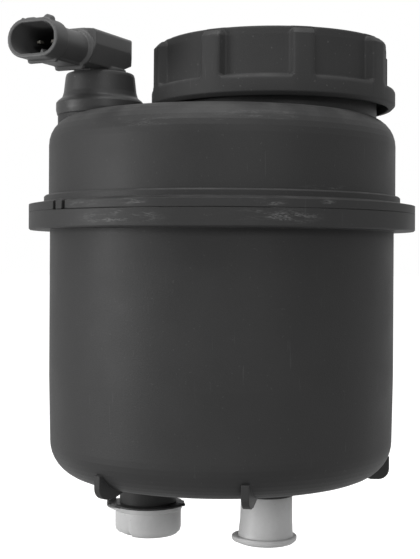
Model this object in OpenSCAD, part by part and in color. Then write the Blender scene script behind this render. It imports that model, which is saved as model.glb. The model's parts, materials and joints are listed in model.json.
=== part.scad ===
// Power steering fluid reservoir: a welded two-part tank with a filter, a screw cap, a level sensor
// and the two shipping caps on its spigots. Millimetres, +Z up, front towards -Y.
// The origin is the centre of the weld flange's underside, on the tank's axis.

/* [Tank] */
// Outer radius of the lower housing, which the clamp band grips
tank_r = 54; // [53.5:0.5:60]
// Wall thickness of both housings
wall = 2.6; // [2:0.1:3.2]
// Depth of the lower housing below the flange
lower_depth = 76; // [72:1:90]
// Height of the straight stretch of wall that the clamp band grips
band_h = 45; // [30:1:50]
// How far the wall draws in below that stretch
draft = 0.4; // [0.2:0.1:0.8]
// Radius of the corner between the wall and the floor
corner_r = 11; // [8:0.5:16]
// Height of the upper housing above the weld seam
upper_h = 30; // [26:1:40]
// How much wider the upper wall is than the lower one
upper_step = 0.4; // [0:0.1:1]
// Radius of the shoulder between the upper wall and the roof
shoulder_r = 9; // [6:0.5:10]

/* [Weld flange] */
// How far both flanges stand out from the lower wall
flange_out = 6.5; // [5:0.5:9]
// Thickness of the lower flange
lower_flange_t = 5.3; // [4:0.1:7]
// Thickness of the upper flange at its rim
upper_flange_t = 2.5; // [2:0.1:4]
// Rise of the upper flange from its rim to the step ring
flange_rise = 0.8; // [0.3:0.1:1.5]
// How far the step ring stands out from the upper wall
step_out = 1.5; // [0.8:0.1:2.5]
// Height of the step ring above the flange
step_h = 2; // [1:0.1:3]
// Width of the two slots in the upper flange's rim
rim_slot_w = 1.6; // [1:0.1:3]

/* [Corner fins] */
// Thickness of a fin
fin_t = 2.2; // [1.6:0.1:3]
// How far a fin reaches below the floor
fin_drop = 1.5; // [0.6:0.1:2.5]
// Width of a fin's flat bottom edge
fin_foot = 2.4; // [1.5:0.1:4]
// Radius of a fin's outer lower corner
fin_corner_r = 3.4; // [1:0.2:4]

/* [Spigots] */
// Distance of the suction spigot from the tank's axis
suction_offset = 22.9; // [20:0.1:28]
// Outer radius of the suction spigot
suction_r = 9; // [8:0.25:10]
// Length of the suction spigot's shank that stays uncovered
suction_shank = 9.6; // [8:0.2:14]
// Length of the suction spigot's nose inside its shipping cap
suction_nose = 8.5; // [6:0.25:10]
// Distance of the return spigot from the tank's axis
return_offset = 14.6; // [12:0.1:18]
// Outer radius of the return spigot
return_r = 7; // [6:0.25:8]
// Outer radius of the boss at the return spigot's root
return_boss_r = 8.7; // [8.6:0.1:11]
// Height of that boss
return_boss_h = 7.2; // [5:0.2:10]
// Length of the return spigot below its boss
return_length = 13.6; // [10:0.2:18]
// Wall thickness of both spigots
spigot_wall = 2; // [1.5:0.1:2.5]

/* [Shipping caps] */
// Wall thickness of the suction port's cup
cup_wall = 1.5; // [1:0.1:2]
// Thickness of the rubber washer between the spigot and the cup
washer_t = 0.7; // [0.6:0.1:1.5]
// How far the washer stands out from the cup's wall
washer_out = 1.5; // [0.8:0.1:2.5]
// Height of the band round the cup's open end
cup_band_h = 1.4; // [1:0.1:2]
// Wall thickness of the return port's tube
tube_wall = 0.9; // [0.7:0.1:1.4]
// Height of the pull rim at the tube's closed end
pull_rim_h = 2.5; // [2:0.1:5]
// How far the pull rim stands out from the tube
pull_rim_out = 1.4; // [1:0.1:3]
// Slack between a shipping cap and its spigot
cap_slack = 0.3; // [0.2:0.05:0.4]
// Thickness of a shipping cap's end
cap_end_t = 1.2; // [0.8:0.1:2]

/* [Filler neck and cap] */
// Distance between the neck and the outside of the upper wall
neck_edge = 5.8; // [5:0.1:7]
// Outer radius of the filler neck
neck_r = 32.6; // [28:0.1:33]
// Height of the neck above the roof
neck_h = 19; // [15:0.5:22]
// Room between the neck and the cap, where the thread's ridges lie
thread_room = 1.3; // [1:0.1:1.6]
// Wall thickness of the cap's skirt
cap_wall = 1.7; // [1.4:0.1:2.6]
// Thickness of the cap's top
cap_top_t = 2.6; // [2:0.1:3.5]
// Thickness of the gasket between the neck's rim and the cap
gasket_t = 2; // [1:0.1:3]
// Gap between the roof and the cap's lower edge
cap_gap = 3; // [2:0.1:5]
// Height of the full band at the cap's lower edge
cap_band_h = 6; // [4:0.1:8]
// How far the grip ribs and the lower band stand out
grip_out = 2.8; // [1.5:0.1:3]
// Number of grip ribs on each half of the cap
grip_count = 4; // [2:1:6]
// Spacing of the ribs on one half, in degrees
grip_pitch = 42.2; // [20:0.2:44]
// Width of a grip rib, in degrees
grip_angle = 11; // [7:1:14]
// Turn of the first grip rib from +X, in degrees
grip_turn = 16.7; // [0:0.1:44]
// Radius of the clip-in insert under the cap
insert_r = 22; // [19:0.5:24]
// Radius of the vent diaphragm
diaphragm_r = 12; // [9:0.5:13]
// Length of the dipstick
dipstick_length = 62; // [50:1:64]
// Width of the dipstick
dipstick_w = 6; // [4:0.5:8]

/* [Level sensor] */
// Inset of the sensor's boss from the outside of the upper wall
sensor_edge = 2.3; // [2:0.1:4]
// Outer radius of the boss
boss_r = 13.3; // [13:0.1:14.5]
// Wall thickness of the boss
boss_wall = 2.1; // [1.6:0.1:2.5]
// Height of the boss above the roof
boss_h = 1.1; // [0.6:0.1:4]
// Height of the grommet above the boss
grommet_h = 13.2; // [12:0.1:16]
// How far the grommet's lower flange overhangs the boss
grommet_out = 0.6; // [0.2:0.1:1]
// Direction of the connector, in degrees from the front towards the left
sensor_turn = 25.3; // [15:0.1:40]
// Width of the sensor's head
head_w = 16; // [15:0.5:18]
// Height of the sensor's head
head_h = 10.6; // [10:0.1:13]
// Reach of the head in front of the sensor's axis
head_front = 17.9; // [14:0.1:22]
// Reach of the head behind the sensor's axis
head_back = 8.6; // [8.2:0.1:10]
// Outer width of the connector's shroud
shroud_w = 17.3; // [16:0.1:19]
// Outer height of the connector's shroud
shroud_h = 11.4; // [11:0.1:13]
// How far the shroud's middle lies below the head's
shroud_drop = 0.8; // [0:0.1:1.2]
// Length of the shroud in front of the head
shroud_l = 20; // [16:0.5:22]
// Wall thickness of the shroud
shroud_wall = 1.2; // [1:0.1:1.6]
// Spacing of the contact blades
contact_pitch = 5; // [4:0.1:6]
// Radius of the sensor's stem above the float
stem_r = 5.2; // [5:0.1:6]
// Radius of the stem where the float slides
slide_r = 4; // [3.6:0.1:4.4]
// Radius of the float
float_r = 9.5; // [8.5:0.1:9.8]
// Height of the float
float_h = 18; // [14:0.5:22]
// Travel of the float from its clip to the stop above
float_travel = 30; // [20:1:34]
// Height of the float's clip below the flange's underside
clip_depth = 48; // [44:1:56]

/* [Filter] */
// Radius of the filter's end plates
filter_r = 25.6; // [22:0.2:26.5]
// Height of the pleated media
media_h = 44.5; // [36:0.5:50]
// Number of pleats
pleat_count = 36; // [24:2:48]
// Depth of a pleat
pleat_depth = 10; // [7:0.5:11]
// Radius of the perforated core
core_r = 11.3; // [10:0.1:12]
// Thickness of the rubber seal under the filter
seal_t = 1.5; // [1:0.1:2]
// Height of the ring on the floor that carries the filter
filter_seat_h = 3.4; // [2:0.1:5]
// Radius of the spring, to the middle of its wire
spring_r = 14; // [13.6:0.1:16]
// Radius of the spring's wire
wire_r = 0.9; // [0.7:0.05:1]
// Number of turns of the spring
spring_turns = 5; // [4:0.5:5.5]
// Thickness of the baffle plate
baffle_t = 2; // [1.5:0.1:3]

/* [Hidden] */
$fn = 96;
small_fn = 32;

through = 1;        // how far a cut runs past the faces that it opens
sunk = 0.5;         // how far joined forms of one moulding reach into each other
fit_gap = 0.1;      // clearance between clipped or pushed-in pieces
slide_gap = 0.3;    // clearance around what slides

// Tank
inner_r = tank_r - wall;
floor_z = -lower_depth;
floor_top = floor_z + wall;
corner_z = floor_z + corner_r;
low_r = tank_r - draft;
flange_r = tank_r + flange_out;
seam_z = lower_flange_t;
upper_r = tank_r + upper_step;
roof_z = seam_z + upper_h;
step_r = upper_r + step_out;
rim_top = seam_z + upper_flange_t;
step_z = rim_top + flange_rise + step_h;
ledge_w = 2;
ledge_z = seam_z - baffle_t;
lip_h = 2.2;
rim_slot_depth = 1.8;
rim_slot_turns = [-48, -52.5];
fin_turns = [-41.5, 7, 86, 206];
fin_skews = [0, -22, 0, 0];
fin_inset = 0.6;

// Spigots and shipping caps
suction_x = -suction_offset;
return_x = return_offset;
nose_step = 0.4;
nose_r = suction_r - nose_step;
shank_z = floor_z - suction_shank;
nose_z = shank_z - suction_nose;
suction_bore = suction_r - spigot_wall;
return_bore = return_r - spigot_wall;
boss_end_z = floor_z - return_boss_h;
return_end_z = boss_end_z - return_length;
cup_bore = nose_r + cap_slack;
cup_r = cup_bore + cup_wall;
cup_end_z = nose_z - cap_slack - cap_end_t;
cup_top_z = shank_z - washer_t;
cup_round = 3;
washer_r = cup_r + washer_out;
tube_bore = return_r + cap_slack;
tube_r = tube_bore + tube_wall;
tube_end_z = return_end_z - cap_slack - cap_end_t;

// Neck and cap
neck_x = upper_r - neck_edge - neck_r;
neck_bore = neck_r - wall;
neck_rim_z = roof_z + neck_h;
cap_under = neck_rim_z + gasket_t;
cap_top = cap_under + cap_top_t;
cap_bottom = roof_z + cap_gap;
cap_bore = neck_r + thread_room;
panel_r = cap_bore + cap_wall;
grip_r = panel_r + grip_out;
band_top = cap_bottom + cap_band_h;
band_wall = 2.3;
edge = 0.8;
insert_drop = 5;
insert_ring = 1.8;
insert_plate = 2;
insert_z = cap_under - insert_drop - insert_plate;
diaphragm_t = 1.4;
diaphragm_seat = 2;
socket_depth = 6;
dipstick_t = 2.4;
dipstick_end = insert_z - dipstick_length;

// Sensor
sensor_x = -(upper_r - sensor_edge - boss_r);
boss_top = roof_z + boss_h;
boss_bore = boss_r - boss_wall;
grommet_top = boss_top + grommet_h;
head_disc_r = head_w / 2 + 0.1;
head_disc_h = 0.8;
head_z = grommet_top + head_disc_h;
head_top = head_z + head_h;
shroud_z = head_z + head_h / 2 - shroud_drop;
blade_t = 0.8;
blade_w = 2.2;
blade_reach = 11;
lead_spread = 1;
lead_r = 0.4;
bore_r = 2.2;
reed_r = bore_r - slide_gap;
reed_h = 16;
clip_t = 1.2;
clip_groove = 0.5;
clip_z = -clip_depth;
float_stop_z = clip_z + float_h + float_travel + slide_gap;
stem_end_z = clip_z - clip_t - 3;
stem_floor = 1.5;
float_bore = slide_r + slide_gap;
magnet_h = 5;
magnet_in = float_bore + 1;
magnet_out = magnet_in + 2;

// Filter
filter_x = return_x;
seat_in = 13.5;
seat_out = 16.5;
seal_z = floor_top + filter_seat_h;
plate_t = 2;
plate_rim = 3;
plate_edge = 1.2;
base_z = seal_z + seal_t;
media_z = base_z + plate_t;
top_z = media_z + media_h;
media_r = filter_r - plate_edge - fit_gap;
core_wall = 1.3;
pleat_wall = 0.5;
collar_r = spring_r - wire_r - fit_gap;
collar_h = 3;
spring_low = top_z + plate_t;
window_r = seat_in - 1.5;
coil_steps = 20;
wire_sides = 8;
closed_turn = 0.6;

// Points of an arc round (cx, cz), from one angle to another
function arc(cx, cz, r, a0, a1, n = 8) =
    [for (i = [0 : n]) let (a = a0 + (a1 - a0) * i / n) [cx + r * cos(a), cz + r * sin(a)]];

// A flat ring or washer between two heights
module ring(r_out, r_in, z0, z1) {
    rotate_extrude() translate([r_in, z0]) square([r_out - r_in, z1 - z0]);
}

// A round bar between two heights
module bar(r, z0, z1) {
    translate([0, 0, z0]) cylinder(r = r, h = z1 - z0);
}

// A profile in radius and height, stood up as a plate that points to the front
module radial_plate(t, points) {
    rotate([90, 0, -90]) translate([0, 0, -t / 2]) linear_extrude(t) polygon(points);
}

// A slot shape with round ends
module stadium(w, h) {
    square([w - h, h], center = true);
    for (s = [-1, 1]) translate([s * (w - h) / 2, 0]) circle(d = h);
}

// Moves a form from the sensor's own axis, where -Y is the connector's way, to its place
module at_sensor() {
    translate([sensor_x, 0, 0]) rotate([0, 0, -sensor_turn]) children();
}

module at_neck() {
    translate([neck_x, 0, 0]) children();
}

module at_filter() {
    translate([filter_x, 0, 0]) children();
}

// Lower housing
module lower_outer() {
    rotate_extrude() polygon(concat(
        [[0, floor_z]],
        arc(low_r - corner_r, corner_z, corner_r, -90, 0, 10),
        [[tank_r, -band_h], [tank_r, 0], [flange_r - edge / 2, 0], [flange_r, edge / 2],
         [flange_r, seam_z], [0, seam_z]]));
}

module lower_cavity() {
    rotate_extrude() polygon(concat(
        [[0, floor_top]],
        arc(low_r - corner_r, corner_z, corner_r - wall, -90, 0, 10),
        [[inner_r, -band_h], [inner_r, ledge_z - 3], [inner_r - ledge_w, ledge_z - 1],
         [inner_r - ledge_w, ledge_z], [inner_r, ledge_z], [inner_r, seam_z + through],
         [0, seam_z + through]]));
}

// A fin stands on the corner between wall and floor, its outer edge a little inside the wall
module fin() {
    low = floor_z - fin_drop;
    outer = low_r - fin_inset;
    foot = outer - fin_corner_r - fin_foot;
    radial_plate(fin_t, concat(
        [[foot - 2 * fin_drop - 3, corner_z - corner_r / 2], [foot - 2 * fin_drop - 3, floor_z + 1.2 * sunk],
         [foot, low]],
        arc(outer - fin_corner_r, low + fin_corner_r, fin_corner_r, -90, 0, 6),
        [[outer, corner_z - corner_r / 2]]));
}

module lower_housing() {
    color([0.13, 0.13, 0.14]) difference() {
        union() {
            difference() {
                union() {
                    lower_outer();
                    for (i = [0 : len(fin_turns) - 1]) rotate([0, 0, fin_turns[i]])
                        translate([0, -low_r, 0]) rotate([0, 0, fin_skews[i]]) translate([0, low_r, 0]) fin();
                    translate([suction_x, 0, 0]) {
                        bar(suction_r, shank_z, floor_z + sunk);
                        bar(nose_r, nose_z, floor_z + sunk);
                    }
                    translate([return_x, 0, 0]) {
                        bar(return_boss_r, boss_end_z, floor_z + sunk);
                        bar(return_r, return_end_z, floor_z + sunk);
                    }
                }
                lower_cavity();
            }
            at_filter() ring(seat_out, seat_in, floor_top - sunk, seal_z);
        }
        translate([suction_x, 0, 0]) bar(suction_bore, nose_z - through, floor_top + through);
        translate([return_x, 0, 0]) bar(return_bore, return_end_z - through, floor_top + through);
    }
}

// Upper housing
module upper_outer() {
    rotate_extrude() polygon(concat(
        [[0, seam_z], [flange_r, seam_z], [flange_r, rim_top], [step_r, rim_top + flange_rise],
         [step_r, step_z - edge / 2], [step_r - edge / 2, step_z], [upper_r, step_z]],
        arc(upper_r - shoulder_r, roof_z - shoulder_r, shoulder_r, 0, 90, 8),
        [[0, roof_z]]));
}

module upper_cavity() {
    in_r = upper_r - wall;
    lip_r = inner_r - ledge_w + sunk;
    rotate_extrude() polygon(concat(
        [[0, seam_z - through], [lip_r, seam_z - through], [lip_r, seam_z + lip_h],
         [in_r, seam_z + lip_h + ledge_w]],
        arc(upper_r - shoulder_r, roof_z - shoulder_r, shoulder_r - wall, 0, 90, 8),
        [[0, roof_z - wall]]));
}

module upper_housing() {
    color([0.13, 0.13, 0.14]) difference() {
        union() {
            upper_outer();
            at_neck() bar(neck_r, roof_z - sunk, neck_rim_z);
            at_sensor() bar(boss_r, roof_z - shoulder_r, boss_top);
        }
        upper_cavity();
        at_neck() bar(neck_bore, roof_z - wall - through, neck_rim_z + through);
        at_sensor() bar(boss_bore, roof_z - shoulder_r - through, boss_top + through);
        for (a = rim_slot_turns) rotate([0, 0, a])
            translate([-rim_slot_w / 2, -flange_r - through, seam_z])
                cube([rim_slot_w, rim_slot_depth + through, upper_flange_t + flange_rise + through]);
    }
}

// Baffle plate, which lies on the ledge at the seam under the upper housing's lip
module baffle_plate() {
    slot_w = 4;
    slot_l = 10;
    slot_edge = 2;
    slot_reach = inner_r - slot_l - slot_edge;
    color([0.2, 0.2, 0.21]) difference() {
        bar(inner_r - slide_gap, ledge_z, seam_z);
        at_filter() bar(window_r, ledge_z - through, seam_z + through);
        at_sensor() bar(boss_bore + through, ledge_z - through, seam_z + through);
        for (a = [-120 : 30 : 120]) rotate([0, 0, a])
            translate([slot_reach, -slot_w / 2, ledge_z - through])
                cube([slot_l, slot_w, baffle_t + 2 * through]);
    }
}

// Filter: seal, base, core, media and top, stacked on the floor's ring
module filter_seal() {
    color([0.08, 0.08, 0.08]) at_filter() ring(seat_out, seat_in, seal_z, base_z);
}

module filter_base() {
    color([0.75, 0.73, 0.66]) at_filter() {
        ring(filter_r, core_r - core_wall - fit_gap, base_z, media_z);
        ring(filter_r, filter_r - plate_edge, media_z - sunk, media_z + plate_rim);
    }
}

module filter_core() {
    slot_w = 3;
    slot_h = 6;
    rows = floor(media_h / (2 * slot_h));
    pitch = media_h / rows;
    color([0.7, 0.7, 0.7]) at_filter() difference() {
        ring(core_r, core_r - core_wall, media_z, top_z);
        for (k = [0 : rows - 1], a = [0 : 60 : 120]) rotate([0, 0, a])
            translate([-core_r - through, -slot_w / 2, media_z + (k + 0.5) * pitch - slot_h / 2])
                cube([2 * (core_r + through), slot_w, slot_h]);
    }
}

// One loop of the pleat, out and back, moved outwards or inwards by half its thickness
function pleat_line(shift) =
    [for (i = [0 : 2 * pleat_count - 1])
        let (a = 180 * i / pleat_count, r = media_r - pleat_wall - (i % 2) * pleat_depth + shift)
        [r * cos(a), r * sin(a)]];

module filter_media() {
    color([0.85, 0.8, 0.62]) at_filter() translate([0, 0, media_z]) linear_extrude(media_h) difference() {
        polygon(pleat_line(pleat_wall));
        polygon(pleat_line(-pleat_wall));
    }
}

module filter_top() {
    color([0.75, 0.73, 0.66]) at_filter() {
        bar(filter_r, top_z, spring_low);
        ring(filter_r, filter_r - plate_edge, top_z - plate_rim, top_z + sunk);
        ring(collar_r, collar_r - plate_edge, spring_low - sunk, spring_low + collar_h);
    }
}

// Height of the spring's wire as a share of its rise, level for part of a turn at both ends
function coil_rise(t) = max(0, min(1, (t - closed_turn) / (spring_turns - 2 * closed_turn)));

module filter_spring() {
    steps = floor(spring_turns * coil_steps);
    low = spring_low + wire_r;
    high = ledge_z - wire_r;
    points = [for (i = [0 : steps], k = [0 : wire_sides - 1])
        let (t = i / coil_steps, a = 360 * t, b = 360 * k / wire_sides, r = spring_r + wire_r * cos(b))
        [r * cos(a), r * sin(a), low + (high - low) * coil_rise(t) + wire_r * sin(b)]];
    sides = [for (i = [0 : steps - 1], k = [0 : wire_sides - 1])
        let (n = (k + 1) % wire_sides, p = i * wire_sides)
        [p + k, p + wire_sides + k, p + wire_sides + n, p + n]];
    ends = [[for (k = [0 : wire_sides - 1]) k],
        [for (k = [wire_sides - 1 : -1 : 0]) steps * wire_sides + k]];
    color([0.6, 0.6, 0.62]) at_filter() polyhedron(points, concat(sides, ends));
}

// Rubber grommet, which plugs into the boss and grips the stem
module sensor_grommet() {
    plug = boss_bore - fit_gap;
    bead = 0.7;
    inner_shoulder = shoulder_r - wall;
    reach = min(inner_shoulder, max(0, plug + bead - sensor_x - upper_r + shoulder_r));
    hold = roof_z - shoulder_r + sqrt(pow(inner_shoulder, 2) - pow(reach, 2)) - fit_gap;
    out = boss_r + grommet_out;
    color([0.07, 0.07, 0.07]) at_sensor() rotate_extrude() polygon(concat(
        [[stem_r + fit_gap / 2, hold - 3], [plug - 1, hold - 3], [plug + bead, hold - 1.3],
         [plug + bead, hold - 0.6], [plug, hold], [plug, boss_top], [out - 0.3, boss_top],
         [out, boss_top + 1.5], [out, boss_top + 3.8], [out - 0.6, boss_top + 4.5],
         [out - 1.8, boss_top + 5.4], [out - 2.4, boss_top + 6.6], [out - 2.9, grommet_top - 1.6]],
        arc(out - 4.5, grommet_top - 1.6, 1.6, 0, 90, 4),
        [[stem_r + fit_gap / 2, grommet_top]]));
}

// Sensor head: a tapered block on a disc, with the connector's shroud in front
module head_block() {
    half = head_w / 2;
    corner = 3.5;
    straight = 4.6;
    taper = 1.6;
    heel = [7, 2.2];
    heel_edge = 1.2;
    intersection() {
        translate([0, head_back, 0]) rotate([90, 0, 0]) linear_extrude(head_back + head_front)
            polygon([[-half + taper, head_z], [half - taper, head_z], [half, head_top - straight],
                [half, head_top - edge], [half - edge, head_top], [-half + edge, head_top],
                [-half, head_top - edge], [-half, head_top - straight]]);
        translate([0, 0, head_z]) linear_extrude(head_h) polygon(concat(
            arc(half - corner, head_back - corner, corner, 0, 90, 6),
            arc(corner - half, head_back - corner, corner, 90, 180, 6),
            [[-half, -head_front], [half - corner, -head_front], [half, corner / 1.5 - head_front]]));
        translate([-half, 0, 0]) rotate([90, 0, 90]) linear_extrude(head_w)
            polygon([[-head_front, head_z], [head_back - heel[0], head_z],
                [head_back - heel_edge, head_z + heel[1]], [head_back, head_z + heel[1] + heel_edge],
                [head_back, head_top - heel_edge], [head_back - heel_edge, head_top], [-head_front, head_top]]);
    }
}

// The shroud is a tube with round sides, a keel below, a latch knob and two coding ribs above
module shroud() {
    depth = shroud_l - 2;
    mouth = shroud_l + sunk;
    top = shroud_h / 2;
    knob = [4.7, 1.3, 2.6];
    keel_w = 10;
    keel_h = 0.8;
    keel_set = 5;
    rib_l = 9;
    translate([0, -head_front + sunk, shroud_z]) rotate([90, 0, 0]) {
        difference() {
            union() {
                linear_extrude(mouth) stadium(shroud_w, shroud_h);
                translate([0, 0, -sunk]) linear_extrude(mouth - keel_set + sunk)
                    polygon([[-keel_w / 2, 0], [-keel_w / 2, -top - keel_h / 2],
                        [-keel_w / 2 + keel_h / 2, -top - keel_h], [keel_w / 2 - keel_h / 2, -top - keel_h],
                        [keel_w / 2, -top - keel_h / 2], [keel_w / 2, 0]]);
            }
            translate([0, 0, mouth - depth]) linear_extrude(depth + through)
                stadium(shroud_w - 2 * shroud_wall, shroud_h - 2 * shroud_wall);
        }
        translate([knob[0], top - knob[1] / 3, mouth - knob[2] - sunk]) cylinder(r = knob[1], h = knob[2]);
        for (rib = [[-3.8, 0.7, 0.4], [-0.9, 2.6, 0.35]])
            translate([rib[0] - rib[1] / 2, top - 2 * sunk, mouth - rib_l - sunk])
                cube([rib[1], rib[2] + 2 * sunk, rib_l]);
        translate([0, 0, mouth - depth]) linear_extrude(depth - 1)
            polygon([[1.7, -top + shroud_wall - sunk], [3.5, -top + shroud_wall - sunk],
                [2.6, -top + shroud_wall + 1.4]]);
    }
}

// Plan of the right contact blade, with its inner end over the lead wire
module blade_plan() {
    half = blade_w / 2;
    x = contact_pitch / 2;
    tip = -head_front - 2 - blade_reach;
    polygon([[lead_spread - 0.8, 1], [lead_spread + 0.8, 1], [lead_spread + 0.8, -2],
        [x + half, -6], [x + half, tip + 1], [x + half / 2, tip], [x - half / 2, tip],
        [x - half, tip + 1], [x - half, -7], [lead_spread - 0.8, -3]]);
}

module blade() {
    translate([0, 0, shroud_z - blade_t / 2]) linear_extrude(blade_t) blade_plan();
}

module sensor_head() {
    color([0.11, 0.11, 0.12]) at_sensor() difference() {
        union() {
            bar(head_disc_r, grommet_top, head_z + sunk);
            head_block();
            shroud();
        }
        for (s = [0, 1]) mirror([s, 0, 0]) blade();
        bar(bore_r, grommet_top - through, shroud_z - blade_t / 2);
    }
}

module contact_pin_right() {
    color([0.75, 0.72, 0.62]) at_sensor() blade();
}

module contact_pin_left() {
    color([0.75, 0.72, 0.62]) at_sensor() mirror([1, 0, 0]) blade();
}

// Stem: thick down to the float's stop, then slim, with a groove for the clip and a closed end
module sensor_stem() {
    color([0.15, 0.15, 0.16]) at_sensor() difference() {
        union() {
            bar(stem_r, float_stop_z, grommet_top);
            bar(slide_r, stem_end_z, float_stop_z + sunk);
        }
        bar(bore_r, stem_end_z + stem_floor, grommet_top + through);
        ring(slide_r + through, slide_r - clip_groove, clip_z - clip_t, clip_z);
    }
}

module reed_switch() {
    low = stem_end_z + stem_floor;
    color([0.55, 0.75, 0.65]) at_sensor() {
        bar(reed_r, low, low + reed_h);
        for (s = [-1, 1]) translate([s * lead_spread, 0, 0])
            translate([0, 0, low + reed_h - sunk])
                cylinder(r = lead_r, h = shroud_z - blade_t / 2 - low - reed_h + sunk, $fn = small_fn);
    }
}

module float_clip() {
    color([0.6, 0.6, 0.62]) at_sensor() difference() {
        ring(slide_r + 2.5, slide_r - clip_groove + fit_gap / 2, clip_z - clip_t, clip_z);
        translate([-slide_r / 2, 0, clip_z - clip_t - through])
            cube([slide_r, 2 * slide_r, clip_t + 2 * through]);
    }
}

module sensor_float() {
    round_r = 2;
    color([0.25, 0.25, 0.26]) at_sensor() difference() {
        rotate_extrude() polygon(concat(
            [[float_bore, clip_z]],
            arc(float_r - round_r, clip_z + round_r, round_r, -90, 0, 4),
            arc(float_r - round_r, clip_z + float_h - round_r, round_r, 0, 90, 4),
            [[float_bore, clip_z + float_h]]));
        ring(magnet_out + fit_gap, magnet_in - fit_gap, clip_z - through, clip_z + magnet_h);
    }
}

module float_magnet() {
    color([0.3, 0.3, 0.32]) at_sensor() ring(magnet_out, magnet_in, clip_z + slide_gap, clip_z + magnet_h);
}

// Filler cap: top, skirt with a wider band below, grip ribs, and the ring that takes the insert
module cap_shell() {
    top_edge = 1.6;
    band_in = grip_r - band_wall;
    rotate_extrude() polygon(concat(
        [[0, cap_under], [cap_bore, cap_under], [cap_bore, band_top - 1], [band_in, band_top - 3],
         [band_in, cap_bottom], [grip_r - edge, cap_bottom], [grip_r, cap_bottom + edge],
         [grip_r, band_top - edge], [grip_r - edge, band_top], [panel_r, band_top]],
        arc(panel_r - top_edge, cap_top - top_edge, top_edge, 0, 90, 5),
        [[0, cap_top]]));
}

module grip_rib() {
    chamfer = 1.6;
    rotate([0, 0, -grip_angle / 2]) rotate_extrude(angle = grip_angle) polygon([
        [panel_r - sunk, band_top - 1.5], [grip_r, band_top - 1.5], [grip_r, cap_top - 1 - chamfer],
        [grip_r - chamfer, cap_top - 1], [panel_r - sunk, cap_top - 1]]);
}

module filler_cap() {
    color([0.12, 0.12, 0.13]) at_neck() {
        cap_shell();
        for (half = [0, 180], i = [0 : grip_count - 1]) rotate([0, 0, half + grip_turn + i * grip_pitch]) grip_rib();
        ring(insert_r, insert_r - insert_ring, cap_under - insert_drop, cap_under + sunk);
    }
}

module cap_gasket() {
    color([0.07, 0.07, 0.07]) at_neck() ring(neck_r, neck_bore, neck_rim_z, cap_under);
}

// Insert: a plate with a rim that clips into the cap's ring, a diaphragm seat and a dipstick socket
module cap_insert() {
    rim_r = insert_r - insert_ring - fit_gap;
    plate_top = insert_z + insert_plate;
    guide = diaphragm_r + slide_gap;
    socket_r = dipstick_w / 2 + 2;
    color([0.18, 0.18, 0.19]) at_neck() difference() {
        union() {
            bar(insert_r, insert_z, plate_top);
            ring(rim_r, rim_r - insert_ring, plate_top - sunk, cap_under);
            ring(guide + 1.5, guide, plate_top - sunk, plate_top + diaphragm_seat + diaphragm_t);
            ring(diaphragm_r - 1, diaphragm_r - 3, plate_top - sunk, plate_top + diaphragm_seat);
            bar(socket_r, insert_z - socket_depth, insert_z + sunk);
        }
        translate([-dipstick_w / 2 - fit_gap, -dipstick_t / 2 - fit_gap, insert_z - socket_depth - through])
            cube([dipstick_w + 2 * fit_gap, dipstick_t + 2 * fit_gap, socket_depth + through]);
        for (a = [45 : 90 : 315]) rotate([0, 0, a]) translate([socket_r + 1.2, 0, insert_z - through])
            cylinder(r = 0.8, h = insert_plate + 2 * through, $fn = small_fn);
    }
}

module vent_diaphragm() {
    low = insert_z + insert_plate + diaphragm_seat;
    color([0.1, 0.1, 0.1]) at_neck() {
        bar(diaphragm_r, low, low + diaphragm_t);
        ring(diaphragm_r / 2, diaphragm_r / 2 - 1, low + diaphragm_t - sunk, cap_under - slide_gap);
    }
}

// Dipstick: a flat strip with two pairs of notches that mark the levels, and a pointed end
module dipstick() {
    half = dipstick_w / 2;
    notch = 0.8;
    low_mark = 8;
    high_mark = 20;
    color([0.2, 0.2, 0.21]) at_neck() translate([0, dipstick_t / 2, 0]) rotate([90, 0, 0])
        linear_extrude(dipstick_t) difference() {
            polygon([[-half, insert_z], [half, insert_z], [half, dipstick_end + 3], [half / 2, dipstick_end],
                [-half / 2, dipstick_end], [-half, dipstick_end + 3]]);
            for (mark = [low_mark, high_mark], s = [-1, 1])
                translate([s * half, dipstick_end + mark]) square(2 * notch, center = true);
        }
}

// Suction port's shipping cap: a rubber washer on a cup, whose band has a pull tab and a torn lip
module suction_washer() {
    color([0.09, 0.09, 0.09]) translate([suction_x, 0, 0]) ring(washer_r, cup_bore, cup_top_z, shank_z);
}

module suction_port_cap() {
    band_r = cup_r + 0.3;
    tab_r = washer_r + 0.4;
    tab_turn = 150;
    tab_angle = 75;
    lip_t = 0.8;
    lip_turn = 150;
    lip_angle = 38;
    lip_rise = 3.2;
    color([0.86, 0.87, 0.88]) translate([suction_x, 0, 0]) {
        rotate_extrude() polygon(concat(
            [[0, cup_end_z]],
            arc(cup_r - cup_round, cup_end_z + cup_round, cup_round, -90, 0, 6),
            [[cup_r, cup_top_z - cup_band_h - 0.2], [band_r, cup_top_z - cup_band_h], [band_r, cup_top_z],
             [cup_bore, cup_top_z], [cup_bore, cup_end_z + cap_end_t], [0, cup_end_z + cap_end_t]]));
        rotate([0, 0, tab_turn]) rotate_extrude(angle = tab_angle) polygon([
            [cup_r - sunk, cup_top_z], [tab_r + lip_t, cup_top_z],
            [tab_r + lip_t, cup_top_z - cup_band_h / 2], [cup_r - sunk, cup_top_z - cup_band_h]]);
        rotate([0, 0, lip_turn]) rotate_extrude(angle = lip_angle)
            translate([tab_r, cup_top_z - sunk]) square([lip_t, lip_rise + sunk]);
    }
}

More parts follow.
